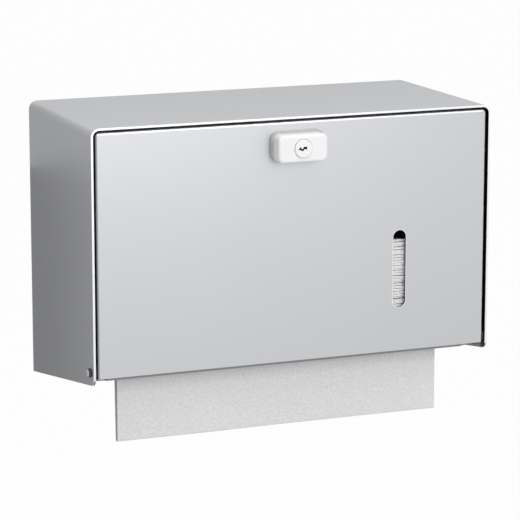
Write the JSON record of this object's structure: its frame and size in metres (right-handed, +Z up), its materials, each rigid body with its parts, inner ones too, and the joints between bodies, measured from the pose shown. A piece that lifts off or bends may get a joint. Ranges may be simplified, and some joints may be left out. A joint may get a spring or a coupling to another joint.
{
  "type": "paper towel dispenser",
  "caption": "Wall-mounted sheet-metal dispenser for folded paper towels: sloping bottom outlet, drop-down front flap with a level window, and a keyed cam lock.",
  "frame": {"origin": "centre of the back face, where the casing lies on the wall", "axes": "+X to the right across the front, +Y into the wall, +Z up"},
  "size_m": [0.3044, 0.153, 0.2285],
  "materials": {
    "casing": "satin anodised",
    "flap": "satin anodised",
    "galvanised": "zinc plated",
    "white_plastic": "glossy moulded",
    "lock_metal": "nickel plated",
    "plug_face": "white lacquered",
    "brass": "machined",
    "screw": "stainless",
    "nylon": "moulded",
    "towel": "embossed tissue"
  },
  "bodies": {
    "casing": {"casing_shell": "casing", "back_plate": "galvanised", "bottom_tray": "galvanised", "latch_keeper": "galvanised", "pivot_screws": "screw", "pivot_spacers": "nylon", "pivot_washers": "screw", "pivot_nuts": "screw", "towel_stack": "towel"},
    "flap": {"flap_panel": "flap", "lock_base": "white_plastic", "lock_housing": "white_plastic", "lock_barrel": "lock_metal", "lock_doubler": "galvanised", "lock_washer": "screw", "lock_nut": "lock_metal"},
    "lock": {"lock_plug": "plug_face", "lock_wafers": "brass", "lock_cam": "screw", "cam_washer": "screw", "cam_screw": "screw"},
    "towel": {"hanging_towel": "towel"}
  },
  "joints": [
    {"name": "flap_hinge", "type": "hinge", "parent": "casing", "child": "flap", "pos_m": [0, -0.133, -0.07], "axis": [1, 0, 0], "range_deg": [0, 90]},
    {"name": "lock_turn", "type": "hinge", "parent": "flap", "child": "lock", "pos_m": [0, -0.1392, 0.0793], "axis": [0, -1, 0], "range_deg": [0, 90]},
    {"name": "towel_pull", "type": "slide", "parent": "casing", "child": "towel", "axis": [0, 0, -1], "range_m": [0, 0.06]}
  ]
}
